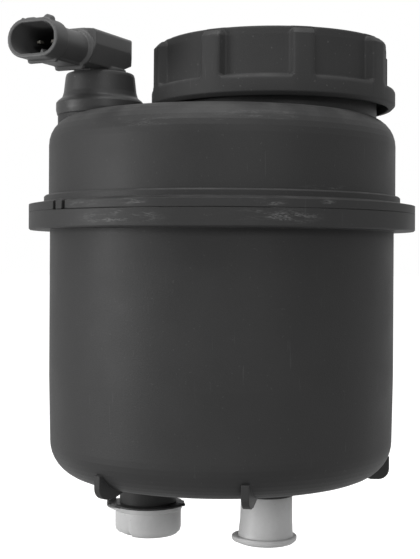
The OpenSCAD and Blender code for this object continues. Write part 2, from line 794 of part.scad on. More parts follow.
// Return port's shipping cap: a closed tube with a pull rim that is longer on one side
module return_port_cap() {
    tab_out = 1.4;
    tab_angle = 70;
    rim_r = tube_r + pull_rim_out;
    color([0.86, 0.87, 0.88]) translate([return_x, 0, 0]) {
        difference() {
            union() {
                bar(tube_r, tube_end_z, boss_end_z);
                rotate_extrude() polygon([[0, tube_end_z], [rim_r - edge, tube_end_z], [rim_r, tube_end_z + edge],
                    [rim_r, tube_end_z + pull_rim_h - edge], [tube_r - sunk, tube_end_z + pull_rim_h + edge],
                    [0, tube_end_z + pull_rim_h]]);
            }
            bar(tube_bore, tube_end_z + cap_end_t, boss_end_z + through);
        }
        rotate([0, 0, 180 - tab_angle / 2]) rotate_extrude(angle = tab_angle) translate([rim_r - sunk, 0])
            polygon([[0, tube_end_z + edge], [sunk + tab_out, tube_end_z + edge],
                [sunk + tab_out, tube_end_z + pull_rim_h - edge], [0, tube_end_z + pull_rim_h - edge]]);
    }
}

lower_housing();
upper_housing();
baffle_plate();
filter_seal();
filter_base();
filter_core();
filter_media();
filter_top();
filter_spring();
sensor_grommet();
sensor_head();
contact_pin_left();
contact_pin_right();
sensor_stem();
reed_switch();
float_clip();
sensor_float();
float_magnet();
filler_cap();
cap_gasket();
cap_insert();
vent_diaphragm();
dipstick();
suction_washer();
suction_port_cap();
return_port_cap();
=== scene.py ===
import json
import math

import bmesh
import bpy
from mathutils import Matrix, Vector, noise


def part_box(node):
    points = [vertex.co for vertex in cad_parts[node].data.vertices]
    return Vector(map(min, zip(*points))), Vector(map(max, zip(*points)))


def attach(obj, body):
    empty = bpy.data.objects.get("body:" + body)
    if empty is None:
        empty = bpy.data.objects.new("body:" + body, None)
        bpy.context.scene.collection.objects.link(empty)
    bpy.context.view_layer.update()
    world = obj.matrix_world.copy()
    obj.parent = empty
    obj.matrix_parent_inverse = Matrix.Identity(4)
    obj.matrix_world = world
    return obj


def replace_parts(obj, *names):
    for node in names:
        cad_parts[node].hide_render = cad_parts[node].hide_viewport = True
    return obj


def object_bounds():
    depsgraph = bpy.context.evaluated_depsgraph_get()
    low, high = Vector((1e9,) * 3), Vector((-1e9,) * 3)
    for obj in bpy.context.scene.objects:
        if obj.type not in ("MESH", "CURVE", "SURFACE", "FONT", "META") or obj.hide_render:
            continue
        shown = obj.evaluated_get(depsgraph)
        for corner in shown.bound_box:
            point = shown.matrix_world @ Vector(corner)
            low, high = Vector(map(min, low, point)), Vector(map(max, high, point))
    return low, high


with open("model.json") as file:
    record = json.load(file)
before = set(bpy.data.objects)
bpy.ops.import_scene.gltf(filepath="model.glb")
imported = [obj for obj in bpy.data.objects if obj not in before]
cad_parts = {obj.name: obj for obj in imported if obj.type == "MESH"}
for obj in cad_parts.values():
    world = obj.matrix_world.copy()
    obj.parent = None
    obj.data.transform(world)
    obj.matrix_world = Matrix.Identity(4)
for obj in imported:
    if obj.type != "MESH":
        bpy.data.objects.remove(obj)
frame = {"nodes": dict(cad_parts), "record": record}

mm = 0.001
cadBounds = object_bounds()
nodes = frame["nodes"]


def report(stage):
    print("reservoir scene:", stage)


# Camera, as the photo was taken: level with the upper part of the wall, from 375 mm in front

cameraView = {
    "place": (0.0, -375 * mm, -8.1 * mm),
    "focalPx": 1182.0,
    "axisPx": (221.7, 257.0),
    "framePx": (420, 559),
    "rollDeg": 0.3,
    "sensorMm": 36.0,
}


def placeCamera():
    width, height = cameraView["framePx"]
    cam = bpy.data.objects.new("photoCamera", bpy.data.cameras.new("photoCamera"))
    cam.data.sensor_width = cameraView["sensorMm"]
    cam.data.lens = cameraView["focalPx"] / height * cameraView["sensorMm"]
    cam.data.shift_x = (width / 2 - cameraView["axisPx"][0]) / height
    cam.data.shift_y = (cameraView["axisPx"][1] - height / 2) / height
    cam.data.clip_start = 5 * mm
    level = Matrix.Rotation(math.radians(90), 4, "X")
    roll = Matrix.Rotation(math.radians(cameraView["rollDeg"]), 4, "Z")
    cam.matrix_world = Matrix.Translation(cameraView["place"]) @ level @ roll
    bpy.context.scene.collection.objects.link(cam)
    bpy.context.scene.camera = cam


placeCamera()
report("camera placed")


# Node helpers

def addNode(tree, kind, settings=None, values=None):
    node = tree.nodes.new(kind)
    for name, value in (settings or {}).items():
        setattr(node, name, value)
    for name, value in (values or {}).items():
        feed(tree, value, node.inputs[name])
    return node


def feed(tree, value, socket):
    if isinstance(value, bpy.types.NodeSocket):
        tree.links.new(value, socket)
    else:
        socket.default_value = value


def calc(tree, operation, first, second=0.0, clamp=False):
    node = addNode(tree, "ShaderNodeMath", {"operation": operation, "use_clamp": clamp})
    feed(tree, first, node.inputs[0])
    feed(tree, second, node.inputs[1])
    return node.outputs[0]


def remap(tree, value, low, high, toLow=0.0, toHigh=1.0):
    node = addNode(tree, "ShaderNodeMapRange", {"interpolation_type": "SMOOTHSTEP"}, {
        "Value": value, "From Min": low, "From Max": high, "To Min": toLow, "To Max": toHigh})
    return node.outputs["Result"]


def mixColour(tree, mask, first, second):
    node = addNode(tree, "ShaderNodeMix", {"data_type": "RGBA"})
    feed(tree, mask, node.inputs[0])
    feed(tree, first, node.inputs[6])
    feed(tree, second, node.inputs[7])
    return node.outputs[2]


def startGroup(name, inputs, outputs):
    group = bpy.data.node_groups.new(name, "ShaderNodeTree")
    for label, kind, value in inputs:
        socket = group.interface.new_socket(name=label, in_out="INPUT", socket_type="NodeSocket" + kind)
        socket.default_value = value
    for label, kind in outputs:
        group.interface.new_socket(name=label, in_out="OUTPUT", socket_type="NodeSocket" + kind)
    return group, group.nodes.new("NodeGroupInput").outputs, group.nodes.new("NodeGroupOutput").inputs


def useGroup(tree, group, values):
    node = addNode(tree, "ShaderNodeGroup", {"node_tree": group})
    for name, value in values.items():
        feed(tree, value, node.inputs[name])
    return node.outputs


def vectorOf(tree, operation, first, second=(0, 0, 0)):
    node = addNode(tree, "ShaderNodeVectorMath", {"operation": operation})
    feed(tree, first, node.inputs[0])
    feed(tree, second, node.inputs[1])
    return node.outputs


def whereOn(tree):
    return tree.nodes.new("ShaderNodeTexCoord").outputs["Object"]


def noiseOn(tree, place, scale, detail=2.0, roughness=0.5):
    return addNode(tree, "ShaderNodeTexNoise", None, {
        "Vector": place, "Scale": scale, "Detail": detail, "Roughness": roughness}).outputs["Fac"]


# Effects that several finishes share

def makeMouldGrain():
    # the fine grain of a textured mould, with slow waves of the plastic under it
    group, given, out = startGroup("mouldGrain", [
        ("Grain Scale", "Float", 2600.0), ("Wave Scale", "Float", 60.0), ("Wave Share", "Float", 0.4)],
        [("Height", "Float"), ("Shade", "Float")])
    place = whereOn(group)
    grain = noiseOn(group, place, given["Grain Scale"], 3.0, 0.6)
    wave = noiseOn(group, place, given["Wave Scale"], 2.0)
    height = calc(group, "ADD", calc(group, "MULTIPLY", wave, given["Wave Share"]), grain)
    group.links.new(height, out["Height"])
    shade = calc(group, "ADD", calc(group, "MULTIPLY", grain, 0.4), calc(group, "MULTIPLY", wave, 0.6))
    group.links.new(shade, out["Shade"])
    return group


def makeEdgeWear():
    # a softened normal at moulded edges, and a mask of the thin line that handling polishes there
    group, given, out = startGroup("edgeWear", [
        ("Amount", "Float", 0.5), ("Breakup Scale", "Float", 300.0), ("Soft Normal", "Vector", (0, 0, 0))],
        [("Mask", "Float")])
    trueNormal = group.nodes.new("ShaderNodeNewGeometry").outputs["True Normal"]
    match = vectorOf(group, "DOT_PRODUCT", given["Soft Normal"], trueNormal)["Value"]
    turn = calc(group, "SUBTRACT", 1.0, match)
    line = remap(group, turn, 0.02, 0.22)
    breakup = remap(group, noiseOn(group, whereOn(group), given["Breakup Scale"], 3.0), 0.35, 0.65, 0.25, 1.0)
    group.links.new(calc(group, "MULTIPLY", calc(group, "MULTIPLY", line, breakup), given["Amount"], True),
                    out["Mask"])
    return group


def makeRubAndSheenSpot():
    # a rubbed or scuffed patch, and also a painted sheen patch: an oval that fades out, torn up by noise that
    # runs along the rub
    group, given, out = startGroup("rubAndSheenSpot", [
        ("Centre", "Vector", (0, 0, 0)), ("Reach", "Vector", (0.01, 0.01, 0.01)),
        ("Run", "Vector", (1, 1, 1)),
        ("Torn Scale", "Float", 700.0), ("Amount", "Float", 0.5)], [("Mask", "Float")])
    place = whereOn(group)
    away = vectorOf(group, "SUBTRACT", place, given["Centre"])[0]
    share = vectorOf(group, "DIVIDE", away, given["Reach"])[0]
    oval = remap(group, vectorOf(group, "LENGTH", share)["Value"], 1.0, 0.25)
    run = vectorOf(group, "MULTIPLY", place, given["Run"])[0]
    torn = remap(group, noiseOn(group, run, given["Torn Scale"], 2.0), 0.4, 0.62)
    fine = noiseOn(group, run, calc(group, "MULTIPLY", given["Torn Scale"], 6.0), 2.0, 0.7)
    torn = calc(group, "MULTIPLY", torn, remap(group, fine, 0.42, 0.58))
    group.links.new(calc(group, "MULTIPLY", calc(group, "MULTIPLY", oval, torn), given["Amount"], True),
                    out["Mask"])
    return group


def makeFineScratches():
    # sparse hair scratches, long in one direction
    group, given, out = startGroup("fineScratches", [
        ("Stretch", "Vector", (1, 1, 0.1)), ("Scale", "Float", 400.0), ("Rarity", "Float", 0.7),
        ("Amount", "Float", 0.4)], [("Mask", "Float")])
    run = vectorOf(group, "MULTIPLY", whereOn(group), given["Stretch"])[0]
    streak = noiseOn(group, run, given["Scale"], 2.0)
    line = remap(group, calc(group, "SUBTRACT", streak, given["Rarity"]), 0.0, 0.03)
    gate = remap(group, noiseOn(group, whereOn(group), 45.0, 1.0), 0.5, 0.66)
    group.links.new(calc(group, "MULTIPLY", calc(group, "MULTIPLY", line, gate), given["Amount"], True),
                    out["Mask"])
    return group


def makeSettledDust():
    # pale dust in specks and on faces that look up
    group, given, out = startGroup("settledDust", [
        ("Speck Scale", "Float", 900.0), ("Specks", "Float", 0.4), ("Film", "Float", 0.2)],
        [("Mask", "Float")])
    place = whereOn(group)
    speck = remap(group, noiseOn(group, place, given["Speck Scale"], 1.0), 0.72, 0.78)
    up = addNode(group, "ShaderNodeSeparateXYZ")
    group.links.new(group.nodes.new("ShaderNodeNewGeometry").outputs["Normal"], up.inputs[0])
    cloud = remap(group, noiseOn(group, place, 130.0, 4.0), 0.4, 0.7)
    film = calc(group, "MULTIPLY", calc(group, "MULTIPLY", remap(group, up.outputs[2], 0.2, 0.95), cloud),
                given["Film"])
    specks = calc(group, "MULTIPLY", speck, given["Specks"])
    group.links.new(calc(group, "ADD", specks, film, True), out["Mask"])
    return group


def makeSeamLine():
    # the thin line where two welded mouldings meet, fainter here and there
    group, given, out = startGroup("seamLine", [
        ("Level", "Float", 0.0), ("Half Width", "Float", 0.0002), ("Wander", "Float", 0.0003),
        ("Amount", "Float", 0.8)], [("Mask", "Float")])
    place = whereOn(group)
    apart = addNode(group, "ShaderNodeSeparateXYZ", None, {"Vector": place}).outputs
    drift = calc(group, "SUBTRACT", noiseOn(group, place, 90.0), 0.5)
    wander = calc(group, "MULTIPLY", drift, given["Wander"])
    above = calc(group, "SUBTRACT", apart[2], given["Level"])
    away = calc(group, "ABSOLUTE", calc(group, "ADD", above, wander))
    line = remap(group, calc(group, "DIVIDE", away, given["Half Width"]), 1.0, 0.35)
    faint = remap(group, noiseOn(group, place, 60.0), 0.4, 0.52, 0.4, 1.0)
    group.links.new(calc(group, "MULTIPLY", calc(group, "MULTIPLY", line, faint), given["Amount"], True),
                    out["Mask"])
    return group


mouldGrain = makeMouldGrain()
edgeWear = makeEdgeWear()
rubAndSheenSpot = makeRubAndSheenSpot()
fineScratches = makeFineScratches()
settledDust = makeSettledDust()
seamLine = makeSeamLine()
report("shared effects built")


# Finishes

def startMaterial(name):
    material = bpy.data.materials.new(name)
    material.use_nodes = True
    tree = material.node_tree
    return material, tree, tree.nodes["Principled BSDF"]


def mouldedFinish(name, look):
    # moulded plastic or rubber: grain, edge polish, rubbed spots and painted sheen patches, scratches and dust
    # over one colour
    material, tree, shader = startMaterial(name)
    grain = useGroup(tree, mouldGrain, {
        "Grain Scale": look["grainScale"], "Wave Scale": look["waveScale"], "Wave Share": look["waveShare"]})
    soft = addNode(tree, "ShaderNodeBevel", {"samples": 6}, {"Radius": look["edgeRadius"]}).outputs[0]
    edges = useGroup(tree, edgeWear, {
        "Amount": look["edgeWear"], "Breakup Scale": look["breakupScale"], "Soft Normal": soft})["Mask"]
    scratches = useGroup(tree, fineScratches, {
        "Stretch": look["scratchRun"], "Scale": look["scratchScale"], "Rarity": look["scratchRarity"],
        "Amount": look["scratches"]})["Mask"]
    dust = useGroup(tree, settledDust, {
        "Speck Scale": look["speckScale"], "Specks": look["specks"], "Film": look["dustFilm"]})["Mask"]
    dark, light = look["colour"], look["wornAndSheen"]
    deep = [c * look["shadeDepth"] for c in dark[:3]] + [1.0]
    colour = mixColour(tree, remap(tree, grain["Shade"], 0.3, 0.7), deep, dark)
    wornAndSheen = edges
    # each patch lightens the colour to the pale one: rubbed spots, and on the housing's shoulder a painted
    # sheen where the top light falls
    for centre, reach, tornScale, amount in look.get("rubsAndSheen", []):
        spot = useGroup(tree, rubAndSheenSpot, {
            "Centre": centre, "Reach": reach, "Run": look["rubRun"], "Torn Scale": tornScale,
            "Amount": amount})["Mask"]
        wornAndSheen = calc(tree, "MAXIMUM", wornAndSheen, spot)
    wornAndSheen = calc(tree, "MAXIMUM", wornAndSheen, scratches)
    colour = mixColour(tree, wornAndSheen, colour, light)
    colour = mixColour(tree, dust, colour, look["dustColour"])
    height = grain["Height"]
    for level, halfLine, amount in look.get("seams", []):
        line = useGroup(tree, seamLine, {"Level": level, "Half Width": halfLine, "Amount": amount})["Mask"]
        colour = mixColour(tree, line, colour, look["seamColour"])
        height = calc(tree, "SUBTRACT", height, calc(tree, "MULTIPLY", line, look["seamDepth"]))
    tree.links.new(colour, shader.inputs["Base Color"])
    rough = calc(tree, "ADD", remap(tree, grain["Shade"], 0.3, 0.7, look["roughLow"], look["roughHigh"]),
                 calc(tree, "MULTIPLY", wornAndSheen, look["wornAndSheenRough"]), True)
    tree.links.new(rough, shader.inputs["Roughness"])
    shader.inputs["Specular IOR Level"].default_value = look["specular"]
    shader.inputs["Subsurface Weight"].default_value = look["translucence"]
    shader.inputs["Subsurface Radius"].default_value = (1, 1, 1)
    shader.inputs["Subsurface Scale"].default_value = look["bleed"]
    bump = addNode(tree, "ShaderNodeBump", None, {
        "Strength": 1.0, "Distance": look["grainDepth"], "Height": height, "Normal": soft})
    tree.links.new(bump.outputs[0], shader.inputs["Normal"])
    return material


plainPlastic = {
    "colour": (0.03, 0.03, 0.0302, 1), "wornAndSheen": (0.12, 0.12, 0.12, 1), "shadeDepth": 0.84,
    "dustColour": (0.2, 0.2, 0.195, 1), "roughLow": 0.46, "roughHigh": 0.58, "specular": 0.17,
    "grainScale": 2400.0, "waveScale": 55.0, "waveShare": 0.5, "grainDepth": 0.05 * mm,
    "edgeRadius": 0.35 * mm, "edgeWear": 0.35, "scratchRun": (1, 1, 0.08), "scratchScale": 900.0,
    "scratchRarity": 0.68, "scratches": 0.12, "speckScale": 1100.0, "specks": 0.08, "dustFilm": 0.1,
    "breakupScale": 350.0, "wornAndSheenRough": 0.12, "rubRun": (1, 1, 1), "translucence": 0.0, "bleed": 1.2 * mm,
    # colour of a weld seam, and its depth as a multiple of the grain's
    "seamColour": (0.004, 0.004, 0.004, 1), "seamDepth": 3.0,
}

# the weld seam's height, half width and strength: the upper flange rests on the lower housing's top
weldSeam = (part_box("lower_housing")[1].z, 0.17 * mm, 0.9)

housingLook = dict(plainPlastic, rubRun=(0.2, 0.35, 1.4), seams=[weldSeam], rubsAndSheen=[
    # centre, reach, coarseness and strength of each scuff on the flange, the shoulder and the wall; the two
    # broad patches on the shoulder are painted sheen, not scuffs
    ((-0.0395, -0.0465, 0.0068), (0.0085, 0.009, 0.0016), 700.0, 0.7),
    ((-0.0245, -0.0560, 0.0070), (0.0060, 0.006, 0.0014), 700.0, 0.9),
    ((-0.0290, -0.0530, 0.0028), (0.0190, 0.013, 0.0026), 600.0, 0.9),
    ((0.0130, -0.0595, 0.0068), (0.0060, 0.006, 0.0016), 600.0, 0.8),
    ((0.0170, -0.0590, 0.0030), (0.0200, 0.008, 0.0026), 600.0, 0.8),
    ((0.0290, -0.0530, 0.0070), (0.0030, 0.004, 0.0012), 400.0, 0.9),
    ((-0.0024, -0.0520, 0.0298), (0.0040, 0.006, 0.0010), 700.0, 0.9),
    # painted sheen: two broad pale patches along the shoulder, standing in for the light band the top light
    # puts there
    ((0.0100, -0.0490, 0.0310), (0.0200, 0.009, 0.0020), 700.0, 0.4),
    ((-0.0200, -0.0500, 0.0290), (0.0160, 0.008, 0.0018), 600.0, 0.3),
    ((0.0300, -0.0465, 0.0115), (0.0120, 0.010, 0.0010), 900.0, 0.4),
])

capLook = dict(plainPlastic, colour=(0.031, 0.031, 0.0312, 1), roughLow=0.55, roughHigh=0.68,
               grainDepth=0.06 * mm, edgeWear=0.28, specks=0.2, rubsAndSheen=[
    ((-0.004, -0.036, 0.057), (0.010, 0.006, 0.0025), 500.0, 0.5),
    ((0.028, -0.037, 0.058), (0.006, 0.005, 0.0016), 500.0, 0.6),
])

sensorLook = dict(plainPlastic, colour=(0.076, 0.076, 0.0762, 1), specular=0.3, roughLow=0.42, roughHigh=0.55,
                  grainDepth=0.03 * mm, edgeWear=0.3, edgeRadius=0.25 * mm, dustFilm=0.06)

rubberLook = dict(plainPlastic, colour=(0.042, 0.042, 0.0422, 1), roughLow=0.34, roughHigh=0.46,
                  specular=0.22, grainScale=1500.0, grainDepth=0.03 * mm, edgeWear=0.12,
                  specks=0.25, dustFilm=0.15)

innerLook = dict(plainPlastic, colour=(0.045, 0.045, 0.047, 1), scratches=0.1, specks=0.1, dustFilm=0.0)

floatLook = dict(plainPlastic, colour=(0.11, 0.11, 0.115, 1), roughLow=0.6, roughHigh=0.75, grainScale=1700.0,
                 grainDepth=0.09 * mm, dustFilm=0.0, scratches=0.05)

naturalLook = dict(plainPlastic, colour=(0.62, 0.59, 0.49, 1), wornAndSheen=(0.72, 0.7, 0.62, 1), shadeDepth=0.9,
                   dustColour=(0.5, 0.47, 0.38, 1), roughLow=0.38, roughHigh=0.5, grainDepth=0.02 * mm,
                   edgeWear=0.1, scratches=0.1, specks=0.1, dustFilm=0.05)

shippingLook = dict(plainPlastic, colour=(0.53, 0.53, 0.53, 1), wornAndSheen=(0.36, 0.36, 0.355, 1), shadeDepth=0.93,
                    dustColour=(0.26, 0.26, 0.255, 1), roughLow=0.4, roughHigh=0.52, specular=0.4,
                    grainScale=900.0, grainDepth=0.03 * mm, waveScale=90.0, waveShare=1.6, edgeWear=0.12,
                    edgeRadius=0.3 * mm, scratches=0.3, specks=0.3, dustFilm=0.05, translucence=0.3)


def drawnMetal(name, look):
    # drawn or punched metal: fine lines along the draw, with dull patches
    material, tree, shader = startMaterial(name)
    lines = vectorOf(tree, "MULTIPLY", whereOn(tree), look["lineRun"])[0]
    draw = noiseOn(tree, lines, look["lineScale"], 3.0, 0.6)
    dull = remap(tree, noiseOn(tree, whereOn(tree), 120.0, 4.0), 0.4, 0.65)
    tree.links.new(mixColour(tree, dull, look["bright"], look["dull"]), shader.inputs["Base Color"])
    rough = calc(tree, "ADD", remap(tree, draw, 0.3, 0.7, look["roughLow"], look["roughHigh"]),
                 calc(tree, "MULTIPLY", dull, 0.15), True)
    tree.links.new(rough, shader.inputs["Roughness"])
    shader.inputs["Metallic"].default_value = 1.0
    bump = addNode(tree, "ShaderNodeBump", None, {"Strength": 1.0, "Distance": 0.015 * mm, "Height": draw})
    tree.links.new(bump.outputs[0], shader.inputs["Normal"])
    return material


springLook = {"bright": (0.55, 0.55, 0.57, 1), "dull": (0.36, 0.36, 0.37, 1), "lineRun": (1, 1, 0.2),
              "lineScale": 2500.0, "roughLow": 0.25, "roughHigh": 0.38}
contactLook = {"bright": (0.12, 0.115, 0.1, 1), "dull": (0.07, 0.066, 0.06, 1), "lineRun": (0.3, 1, 1),
               "lineScale": 3000.0, "roughLow": 0.35, "roughHigh": 0.5}
coreLook = {"bright": (0.66, 0.66, 0.67, 1), "dull": (0.5, 0.5, 0.5, 1), "lineRun": (1, 1, 0.1),
            "lineScale": 1500.0, "roughLow": 0.3, "roughHigh": 0.45}
magnetLook = {"bright": (0.2, 0.2, 0.21, 1), "dull": (0.13, 0.13, 0.135, 1), "lineRun": (1, 1, 1),
              "lineScale": 1200.0, "roughLow": 0.5, "roughHigh": 0.65}

paperLook = {"colour": (0.74, 0.66, 0.43, 1), "stain": (0.6, 0.5, 0.29, 1), "fibreScale": 1400.0}


def pleatedPaper(name, look):
    # resin-treated filter paper: fibres, pores and a slow stain
    material, tree, shader = startMaterial(name)
    place = whereOn(tree)
    fibre = noiseOn(tree, place, look["fibreScale"], 5.0, 0.7)
    stain = remap(tree, noiseOn(tree, place, 70.0, 3.0), 0.42, 0.66)
    colour = mixColour(tree, stain, look["colour"], look["stain"])
    colour = mixColour(tree, remap(tree, fibre, 0.56, 0.7, 0.0, 0.5), colour, look["stain"])
    tree.links.new(colour, shader.inputs["Base Color"])
    tree.links.new(remap(tree, fibre, 0.3, 0.7, 0.8, 0.95), shader.inputs["Roughness"])
    bump = addNode(tree, "ShaderNodeBump", None, {"Strength": 1.0, "Distance": 0.06 * mm, "Height": fibre})
    tree.links.new(bump.outputs[0], shader.inputs["Normal"])
    return material


def reedGlass(name):
    # green-tinted glass tube with faint drawing lines
    material, tree, shader = startMaterial(name)
    shader.inputs["Base Color"].default_value = (0.6, 0.8, 0.7, 1)
    shader.inputs["Transmission Weight"].default_value = 0.85
    shader.inputs["IOR"].default_value = 1.5
    wobble = noiseOn(tree, whereOn(tree), 500.0, 2.0)
    tree.links.new(remap(tree, wobble, 0.3, 0.7, 0.04, 0.12), shader.inputs["Roughness"])
    bump = addNode(tree, "ShaderNodeBump", None, {"Strength": 1.0, "Distance": 0.01 * mm, "Height": wobble})
    tree.links.new(bump.outputs[0], shader.inputs["Normal"])
    return material


finishes = {
    "housing_black": mouldedFinish("housingPlastic", housingLook),
    "cap_black": mouldedFinish("capPlastic", capLook),
    "sensor_black": mouldedFinish("sensorPlastic", sensorLook),
    "rubber_black": mouldedFinish("mouldedRubber", rubberLook),
    "inner_black": mouldedFinish("innerPlastic", innerLook),
    "contact_metal": drawnMetal("tinnedContact", contactLook),
    "spring_steel": drawnMetal("springSteel", springLook),
    "filter_plastic": mouldedFinish("naturalNylon", naturalLook),
    "core_metal": drawnMetal("punchedSheet", coreLook),
    "filter_paper": pleatedPaper("filterPaper", paperLook),
    "float_plastic": mouldedFinish("closedCellFloat", floatLook),
    "magnet_grey": drawnMetal("sinteredMagnet", magnetLook),
    "reed_glass": reedGlass("reedGlass"),
    "shipping_white": mouldedFinish("waxyPolyethylene", shippingLook),
}

for part in frame["record"]["subparts"]:
    partMesh = nodes[part["node"]].data
    partMesh.materials.clear()
    partMesh.materials.append(finishes[part["material_slot"]])
report("finishes on every node")


# Mesh helpers

def addPiece(name, verts, faces, body, slot, sharpDeg=35):
    mesh = bpy.data.meshes.new(name)
    mesh.from_pydata(verts, [], faces)
    work = bmesh.new()
    work.from_mesh(mesh)
    bmesh.ops.remove_doubles(work, verts=work.verts, dist=0.0005 * mm)
    bmesh.ops.dissolve_degenerate(work, edges=work.edges, dist=0.0005 * mm)
    bmesh.ops.recalc_face_normals(work, faces=work.faces)
    work.to_mesh(mesh)
    work.free()
    return finishPiece(name, mesh, body, slot, sharpDeg)


def finishPiece(name, mesh, body, slot, sharpDeg=35):
    mesh.materials.clear()
    mesh.materials.append(finishes[slot])
    mesh.shade_smooth()
    mesh.set_sharp_from_angle(angle=math.radians(sharpDeg))
    piece = bpy.data.objects.new(name, mesh)
    bpy.context.scene.collection.objects.link(piece)
    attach(piece, body)
    return piece


def ease(value, low, high):
    share = min(1.0, max(0.0, (value - low) / (high - low)))
    return share * share * (3 - 2 * share)


def blendOf(value, knots):
    # value along a line of (place, height) knots
    for (x0, y0), (x1, y1) in zip(knots, knots[1:]):
        if value <= x1:
            return y0 + (y1 - y0) * max(0.0, (value - x0) / (x1 - x0))
    return knots[-1][1]


def angleFrom(turn, centre):
    # signed degrees from a direction
    return (math.degrees(turn) - centre + 180) % 360 - 180


def roundCorners(points, steps=4):
    # a closed outline in millimetres, in which a point (x, z, radius) becomes an arc
    outline = []
    for i, (x, z, radius) in enumerate(points):
        here = Vector((x, z))
        back = Vector(points[i - 1][:2]) - here
        ahead = Vector(points[(i + 1) % len(points)][:2]) - here
        if radius <= 0:
            outline.append(here)
            continue
        half = back.angle(ahead, math.pi) / 2
        if half > math.radians(88):
            outline += [here] * (steps + 1)
            continue
        reach = min(radius / math.tan(half), back.length * 0.49, ahead.length * 0.49)
        radius = reach * math.tan(half)
        start, end = here + back.normalized() * reach, here + ahead.normalized() * reach
        middle = here + (back.normalized() + ahead.normalized()).normalized() * (radius / math.sin(half))
        for k in range(steps + 1):
            outline.append(middle + (start.lerp(end, k / steps) - middle).normalized() * radius)
    return outline


def fromEdge(radius, height, rows):
    # outline points given as insets from a radius and drops below a height
    return [(radius - inset, height - drop, corner) for inset, drop, corner in rows]


def latheMesh(outlineAt, centre, turns):
    # turns a closed outline round an upright axis; the outline may change with the angle
    verts, faces = [], []
    for turn in turns:
        for radius, height in outlineAt(turn):
            verts.append((centre[0] + radius * mm * math.cos(turn), centre[1] + radius * mm * math.sin(turn),
                          height * mm))
    steps = len(turns)
    count = len(verts) // steps
    for i in range(steps):
        after = (i + 1) % steps
        for k in range(count):
            ahead = (k + 1) % count
            faces.append((i * count + k, after * count + k, after * count + ahead, i * count + ahead))
    return verts, faces


def evenTurns(steps):
    return [2 * math.pi * i / steps for i in range(steps)]


def sweepMesh(sectionAt, centre, path):
    # carries a closed section round an upright axis; path gives (turn, radius, height) in millimetres
    verts, faces = [], []
    for i, (turn, radius, height) in enumerate(path):
        for out, up in sectionAt(i / (len(path) - 1)):
            r = (radius + out) * mm
            verts.append((centre[0] + r * math.cos(turn), centre[1] + r * math.sin(turn), (height + up) * mm))
    count = len(verts) // len(path)
    for i in range(len(path) - 1):
        for k in range(count):
            ahead = (k + 1) % count
            faces.append((i * count + k, (i + 1) * count + k, (i + 1) * count + ahead, i * count + ahead))
    faces.append(tuple(range(count)))
    faces.append(tuple(reversed(range(len(verts) - count, len(verts)))))
    return verts, faces


def middleOf(node):
    low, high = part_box(node)
    return (low.x + high.x) / 2, (low.y + high.y) / 2


def heights(node):
    # lowest and highest point in millimetres
    low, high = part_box(node)
    return low.z / mm, high.z / mm


def halfWidth(node):
    low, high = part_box(node)
    return (high.x - low.x) / 2 / mm


# Filler cap: a shell with two groups of rounded grip ribs, a broad lower band and a plain crowned top

capShape = {
    "gripOut": 2.8, "wall": 1.7, "bandHeight": 6.0, "bandSlope": 1.1, "bandWall": 2.3, "topWall": 2.6,
    # the ring that holds the insert: its outer and inner radius, and how far it hangs down
    "insertRing": (22.0, 20.2, 5.0),
    # how far each point lies in from the panel or the rib and below the top, and its corner's radius
    "panelEdge": [(0.05, 2.7, 0.05), (0.1, 2.2, 0.05), (0.15, 1.7, 0.05), (0.2, 0.25, 1.3)],
    "ribEdge": [(0.05, 2.7, 0.5), (1.5, 1.15, 0.5)], "ribShoulder": [(0.1, 1.0, 0.3), (0.2, 0.25, 0.7)],
    "firstRib": 16.7, "ribPitch": 42.2, "ribsPerHalf": 4, "ribHalf": 5.2, "ribInner": 2.2,
    # degrees from a rib's edge: how far the surface has risen from the panel to the rib
    "flank": [(-1.5, 0.0), (-0.8, 0.05), (-0.35, 0.2), (0.35, 0.8), (0.8, 0.95), (1.5, 1.0)],
    "openStep": 2.4,
}


